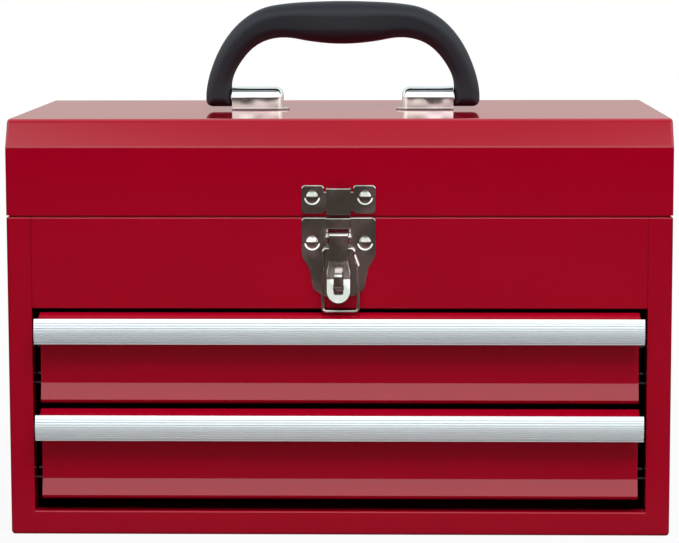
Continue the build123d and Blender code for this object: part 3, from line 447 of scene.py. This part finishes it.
def ball_graph(material):
    """Rows of bearing balls: along a slide, above and below it, on both sides of the drawer."""
    graph = Graph("slide_balls")
    radius = graph.size("Radius")
    count = graph.size("Count", "NodeSocketInt")
    start = graph.size("Start", "NodeSocketVector")
    pitch = graph.size("Pitch", "NodeSocketVector")
    rise = graph.size("Rise", "NodeSocketVector")
    across = graph.size("Across", "NodeSocketVector")
    points = graph.line(count, start, pitch)
    for gap in (rise, across):
        pair = graph.line(2, (0, 0, 0), gap)
        grid = graph.node("GeometryNodeInstanceOnPoints", {"Points": points, "Instance": pair})
        points = graph.node("GeometryNodeRealizeInstances", {0: grid})
    ball = graph.node("GeometryNodeMeshIcoSphere", {"Radius": radius, "Subdivisions": 3})
    smooth = graph.node("GeometryNodeSetShadeSmooth", {0: ball})
    balls = graph.node("GeometryNodeInstanceOnPoints", {"Points": points, "Instance": smooth})
    graph.close(balls, material)
    return graph


def rivet_graph(material):
    """A row of rivet heads: spheres flattened into domes, half sunk in a leaf."""
    graph = Graph("leaf_rivets")
    radius = graph.size("Radius")
    dome = graph.size("Dome", "NodeSocketVector")
    count = graph.size("Count", "NodeSocketInt")
    start = graph.size("Start", "NodeSocketVector")
    pitch = graph.size("Pitch", "NodeSocketVector")
    points = graph.line(count, start, pitch)
    head = graph.node("GeometryNodeMeshUVSphere", {"Segments": 24, "Rings": 14, "Radius": radius})
    smooth = graph.node("GeometryNodeSetShadeSmooth", {0: head})
    inputs = {"Points": points, "Instance": smooth, "Scale": dome}
    graph.close(graph.node("GeometryNodeInstanceOnPoints", inputs), material)
    return graph


# ---------------------------------------------------------------- settings
def colour_property(name, description, default):
    return bpy.props.FloatVectorProperty(
        name=name, description=description, default=default, subtype="COLOR", size=3, min=0.0, max=1.0
    )


def size_property(name, description, default):
    """A size in millimetres."""
    return bpy.props.FloatProperty(name=name, description=description, default=default, min=0.0)


def share_property(name, description, default):
    """A share between none and all."""
    return bpy.props.FloatProperty(
        name=name, description=description, default=default, min=0.0, max=1.0
    )


class EnamelSettings(bpy.types.PropertyGroup):
    colour: colour_property("Enamel colour", "Colour of the baked enamel", (0.335, 0.0, 0.013))
    gloss: share_property("Gloss blur", "Roughness of the clear skin", 0.055)
    peel_size: size_property("Orange peel", "Size of the ripples in the paint, in mm", 1.6)


class MetalSettings(bpy.types.PropertyGroup):
    nickel: colour_property("Nickel", "Colour of the latch's nickel plate", (0.66, 0.62, 0.60))
    chrome: colour_property("Chrome", "Colour of the handle brackets", (0.84, 0.87, 0.90))
    zinc: colour_property("Zinc", "Colour of stays, pins and hinge", (0.66, 0.68, 0.70))
    # The slides' colour is kept dark as painted shade for the deep gaps beside the drawers.
    slide: colour_property("Slides", "Colour of the oiled drawer slides", (0.15, 0.15, 0.155))
    aluminium: colour_property("Aluminium", "Colour of the drawer pulls", (0.81, 0.89, 0.92))
    edge: size_property("Rolled edge", "Rounding of the latch plates' edges, in mm", 0.55)
    bend: share_property("Bend", "Height of the lever's faint bend, as a share of the lever", 0.6)
    lean: share_property("Lean", "Slope of the lever's face below its bend", 0.05)


class GripSettings(bpy.types.PropertyGroup):
    colour: colour_property("Grip colour", "Colour of the moulded grip", (0.007, 0.009, 0.013))
    grain_size: size_property("Grain", "Size of the moulded grain, in mm", 0.35)
    seam_width: size_property("Mould line", "Half width of the mould's closing line, in mm", 0.22)


class HardwareSettings(bpy.types.PropertyGroup):
    ball_radius: size_property("Ball radius", "Radius of a slide's balls, in mm", 1.75)
    balls: bpy.props.IntProperty(
        name="Balls", description="Balls in one row of a slide", default=4, min=2
    )
    rivet_radius: size_property("Rivet radius", "Radius of the hinge's rivet heads, in mm", 2.3)
    rivet_rise: size_property("Rivet rise", "Height of the hinge's rivet heads, in mm", 1.0)
    rivets: bpy.props.IntProperty(
        name="Rivets", description="Rivets in one hinge leaf", default=13, min=2
    )


class StageSettings(bpy.types.PropertyGroup):
    floor: share_property("Floor", "Paleness of the floor under the box", 0.50)
    key: bpy.props.FloatProperty(
        name="Key light", description="Power of the large soft lamp", default=47.0, unit="POWER"
    )
    sky: bpy.props.FloatProperty(
        name="Room light", description="Strength of the even light", default=0.16, min=0.0
    )


def chosen(name):
    """The scene's settings of one group."""
    return getattr(bpy.context.scene, name)


# ---------------------------------------------------------------- operators
class TOOLBOX_OT_enamel(bpy.types.Operator):
    """Paints the cabinet, the lid and the drawers"""
    bl_idname = "toolbox.enamel"
    bl_label = "Enamelled sheet steel"

    def execute(self, context):
        paint = enamel(chosen("toolbox_enamel"))
        coat(paint, *PAINTED)
        for number in (1, 2):
            coat(paint, f"drawer_{number}_tray", f"drawer_{number}_front")
        return {"FINISHED"}


class TOOLBOX_OT_pulls(bpy.types.Operator):
    """Finishes the full-width drawer pulls in drawn aluminium"""
    bl_idname = "toolbox.pulls"
    bl_label = "Drawer pulls"

    def execute(self, context):
        for node in ("drawer_1_pull", "drawer_2_pull"):
            coat(drawn_aluminium(chosen("toolbox_metal").aluminium, node), node)
        return {"FINISHED"}


class TOOLBOX_OT_latch(bpy.types.Operator):
    """Plates the draw latch, its strike, staple, wire loop and rivets"""
    bl_idname = "toolbox.latch"
    bl_label = "Draw latch"

    def execute(self, context):
        metal = chosen("toolbox_metal")
        edge = metal.edge
        finish = {"rough": 0.10, "cloud": 0.35, "lines": 0.05}
        nickel = plated("latch_nickel", metal.nickel, **finish)
        low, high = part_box("latch_lever")
        bend_up = low.z + (high.z - low.z) * metal.bend
        leaning = plated("lever_nickel", metal.nickel, **finish, lean=metal.lean, bend_up=bend_up)
        coat(nickel, "latch_lever_pin")
        dressed("latch_base", "base_plate", "cabinet", nickel, rounding=edge)
        dressed("strike_plate", "strike", "lid", nickel, rounding=edge)
        dressed("latch_staple", "staple", "cabinet", nickel, rounding=edge / 2)
        dressed("latch_lever", "lever", "latch_lever", leaning, rounding=edge)
        dressed("latch_bail", "wire_loop", "latch_bail", nickel)
        dressed("latch_base_rivets", "base_rivet_heads", "cabinet", nickel)
        dressed("strike_rivets", "strike_rivet_heads", "lid", nickel)
        return {"FINISHED"}


class TOOLBOX_OT_handle(bpy.types.Operator):
    """Finishes the moulded grip and its bright brackets"""
    bl_idname = "toolbox.handle"
    bl_label = "Carry handle"

    def execute(self, context):
        lid_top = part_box("lid_shell")[1].z
        # The chrome carries a painted contact shadow along its foot on the lid.
        chrome = plated(
            "bracket_chrome", chosen("toolbox_metal").chrome, rough=0.05, cloud=0.03,
            foot_up=lid_top + FOOT_SHADOW_HEIGHT * MM,
        )
        for side in ("left", "right"):
            dressed(f"handle_bracket_{side}", f"bracket_{side}", "lid", chrome)
        plastic = moulded_plastic(chosen("toolbox_grip"))
        dressed("handle_grip", "grip", "handle", plastic, sharp=60.0)
        return {"FINISHED"}


class TOOLBOX_OT_slides(bpy.types.Operator):
    """Plates slides, stays, pins and hinge leaves, and fills the slides with balls"""
    bl_idname = "toolbox.slides"
    bl_label = "Slides and stays"

    def execute(self, context):
        hardware = chosen("toolbox_hardware")
        metal = chosen("toolbox_metal")
        coat(zinc("zinc_plate", metal.zinc), *ZINC_PLATED)
        # The slides take a darkened zinc: painted shade for the deep gaps beside the drawers.
        coat(zinc("shade_darkened_zinc", metal.slide), *SLIDE_PARTS)
        steel = plated("ball_steel", BALL_STEEL, rough=0.06, cloud=0.04)
        graph = ball_graph(steel)
        radius = hardware.ball_radius * MM
        margin = Vector((radius,) * 3)
        for number in (1, 2):
            node = f"drawer_{number}_balls"
            low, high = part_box(node)
            low = low + margin
            span = high - low - margin
            mesh = graph.mesh(
                node, radius=radius, count=hardware.balls, start=low,
                pitch=(0, span.y / (hardware.balls - 1), 0), rise=(0, 0, span.z), across=(span.x, 0, 0),
            )
            placed(f"bearing_balls_{number}", mesh, f"drawer_{number}_cages", steel, node)
        return {"FINISHED"}


class TOOLBOX_OT_hinge(bpy.types.Operator):
    """Rivets the rear hinge's leaves on"""
    bl_idname = "toolbox.hinge"
    bl_label = "Rear hinge"

    def execute(self, context):
        hardware = chosen("toolbox_hardware")
        zinc_plate = bpy.data.materials["zinc_plate"]
        graph = rivet_graph(zinc_plate)
        radius = hardware.rivet_radius * MM
        inset = radius * 2
        dome = (1, hardware.rivet_rise / hardware.rivet_radius, 1)
        for body in ("cabinet", "lid"):
            node = f"hinge_leaf_{body}"
            low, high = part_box(node)
            up = low.z + inset if body == "cabinet" else high.z - inset
            pitch = (high.x - low.x) / hardware.rivets
            start = (low.x + pitch / 2, low.y + LEAF_SHEET * MM, up)
            mesh = graph.mesh(
                node, radius=radius, dome=dome, count=hardware.rivets, start=start, pitch=(pitch, 0, 0)
            )
            placed(f"{body}_leaf_rivets", mesh, body, zinc_plate)
        return {"FINISHED"}


# ---------------------------------------------------------------- stage
def soft_lamp(name, place, target, size, power):
    """A soft rectangular lamp aimed at a point, which gloss doesn't mirror."""
    lamp = bpy.data.lights.new(name, "AREA")
    lamp.shape = "RECTANGLE"
    lamp.size, lamp.size_y = size
    lamp.energy = power
    holder = bpy.data.objects.new(name, lamp)
    bpy.context.scene.collection.objects.link(holder)
    holder.visible_glossy = False
    aim = Vector(target) - Vector(place)
    turn = aim.to_track_quat("-Z", "Y").to_matrix().to_4x4()
    holder.matrix_world = Matrix.Translation(place) @ turn


def room(strength):
    """A white room. Gloss mirrors a dim floor in front, a wide soft box above it, and a pale rear."""
    studio = Recipe(bpy.data.worlds.new("room"))
    camera = studio.node("ShaderNodeLightPath", output="Is Camera Ray")
    glossy = studio.node("ShaderNodeLightPath", output="Is Glossy Ray")
    direction = studio.node("ShaderNodeTexCoord", output="Generated")
    across, depth, up = (
        studio.node("ShaderNodeSeparateXYZ", {}, {0: direction}, output=axis) for axis in "XYZ"
    )
    soft_box = studio.spread(studio.step(up, low=0.0, high=0.11), low=0.09, high=1.99)
    front = soft_box - studio.step(up, low=0.840, high=0.862) * CEILING_DROP
    rear = studio.spread(studio.step(up, low=0.05, high=0.4), low=0.58, high=0.98)
    behind = studio.step(depth, low=-0.3, high=0.3)
    sides = studio.step(studio.maths("ABSOLUTE", across), low=0.5, high=0.95) * SIDE_LIGHT
    mirror = front + (rear - front) * behind + sides
    plain = camera + (1 - camera) * strength
    hue = studio.tint(studio.step(up, low=0.0, high=0.3), GROUND_HUE, SKY_HUE)
    inputs = {
        "Color": studio.tint(glossy, (1, 1, 1), hue),
        "Strength": glossy * mirror + (1 - glossy) * plain,
    }
    background = studio.node("ShaderNodeBackground", {}, inputs)
    studio.node("ShaderNodeOutputWorld", {}, {"Surface": background})
    bpy.context.scene.world = studio.block


def floor_finish(paleness):
    """Matt floor: near white for the camera, with a faint shadow, and dim in reflections, with a
    painted lighter patch near the box that only gloss sees.
    """
    floor = blank_material("floor")
    camera = floor.node("ShaderNodeLightPath", output="Is Camera Ray")
    glossy = floor.node("ShaderNodeLightPath", output="Is Glossy Ray")
    away = floor.node("ShaderNodeVectorMath", {"operation": "LENGTH"}, {0: floor.place()}, "Value")
    white = camera * floor.spread(floor.step(away, low=0.3, high=1.0), low=0.93, high=1.0)
    near, far = (scaled(dim, paleness) for dim in (FLOOR_NEAR, FLOOR_FAR))
    # Painted reflection: gloss sees the floor lighter near the box and dimmer far from it.
    mirrored = floor.tint(floor.step(away, low=0.14, high=0.36), near, far)
    shade_seen = floor.tint(glossy, (paleness,) * 3, mirrored)
    inputs = {"Base Color": shade_seen, "Roughness": 0.9, "Specular IOR Level": 0.0}
    matt = floor.node("ShaderNodeBsdfPrincipled", {}, inputs)
    glow = floor.node("ShaderNodeEmission", {}, {"Color": (1, 1, 1, 1), "Strength": 1.0})
    surface = floor.node("ShaderNodeMixShader", {}, {0: white, 1: matt, 2: glow})
    floor.node("ShaderNodeOutputMaterial", {}, {"Surface": surface})
    return floor.block


def lay_floor(scene, paleness):
    """A wide flat floor just under the box."""
    mesh = bpy.data.meshes.new("floor")
    corners = [
        (across * FLOOR_REACH, deep * FLOOR_REACH, -FLOOR_DROP * MM)
        for across, deep in ((-1, -1), (1, -1), (1, 1), (-1, 1))
    ]
    mesh.from_pydata(corners, [], [(0, 1, 2, 3)])
    mesh.materials.append(floor_finish(paleness))
    floor = bpy.data.objects.new("floor", mesh)
    scene.collection.objects.link(floor)


def set_camera(scene):
    """A camera at the photograph's place, angle and width of view."""
    yaw, pitch, roll = (
        math.radians(angle) for angle in (CAMERA_YAW, CAMERA_PITCH, CAMERA_ROLL)
    )
    level = Vector((math.cos(yaw), -math.sin(yaw), 0))
    forward = Vector((math.sin(yaw), math.cos(yaw), 0))
    ahead = forward * math.cos(pitch) - Vector((0, 0, math.sin(pitch)))
    rise = level.cross(ahead)
    right = level * math.cos(roll) + rise * math.sin(roll)
    upward = rise * math.cos(roll) - level * math.sin(roll)
    turn = Matrix((right, upward, -ahead)).transposed().to_4x4()
    lens = bpy.data.cameras.new("camera")
    lens.sensor_fit = "HORIZONTAL"
    lens.lens = FOCAL_PIXELS / IMAGE_WIDTH * lens.sensor_width
    camera = bpy.data.objects.new("camera", lens)
    scene.collection.objects.link(camera)
    camera.matrix_world = Matrix.Translation(CAMERA_PLACE) @ turn
    scene.camera = camera


class TOOLBOX_OT_stage(bpy.types.Operator):
    """Sets up the pale floor, the soft light and the camera"""
    bl_idname = "toolbox.stage"
    bl_label = "Stage"

    def execute(self, context):
        values = chosen("toolbox_stage")
        lay_floor(context.scene, values.floor)
        room(values.sky)
        for name, place, target, size, share in LAMPS:
            soft_lamp(name, place, target, size, values.key * share)
        set_camera(context.scene)
        context.scene.view_settings.view_transform = "Standard"
        return {"FINISHED"}


class TOOLBOX_PT_panel(bpy.types.Panel):
    """Lists the box's pieces and their settings"""
    bl_idname = "TOOLBOX_PT_panel"
    bl_label = "Tool Box"
    bl_space_type = "VIEW_3D"
    bl_region_type = "UI"
    bl_category = "Tool Box"

    def draw(self, context):
        for name, (operators, group) in GROUPS.items():
            for operator in operators:
                self.layout.operator(operator.bl_idname)
            for key in group.__annotations__:
                self.layout.prop(chosen(name), key)


GROUPS = {
    "toolbox_enamel": ((TOOLBOX_OT_enamel,), EnamelSettings),
    "toolbox_metal": ((TOOLBOX_OT_pulls, TOOLBOX_OT_latch), MetalSettings),
    "toolbox_grip": ((TOOLBOX_OT_handle,), GripSettings),
    "toolbox_hardware": ((TOOLBOX_OT_slides, TOOLBOX_OT_hinge), HardwareSettings),
    "toolbox_stage": ((TOOLBOX_OT_stage,), StageSettings),
}


def register():
    for name, (operators, group) in GROUPS.items():
        bpy.utils.register_class(group)
        setattr(bpy.types.Scene, name, bpy.props.PointerProperty(type=group))
        for operator in operators:
            bpy.utils.register_class(operator)
    bpy.utils.register_class(TOOLBOX_PT_panel)


def unregister():
    bpy.utils.unregister_class(TOOLBOX_PT_panel)
    for name, (operators, group) in GROUPS.items():
        for operator in operators:
            bpy.utils.unregister_class(operator)
        delattr(bpy.types.Scene, name)
        bpy.utils.unregister_class(group)


def main():
    register()
    bpy.ops.toolbox.enamel()
    bpy.ops.toolbox.pulls()
    bpy.ops.toolbox.latch()
    bpy.ops.toolbox.handle()
    bpy.ops.toolbox.slides()
    bpy.ops.toolbox.hinge()
    bpy.ops.toolbox.stage()


if __name__ == "__main__":
    main()
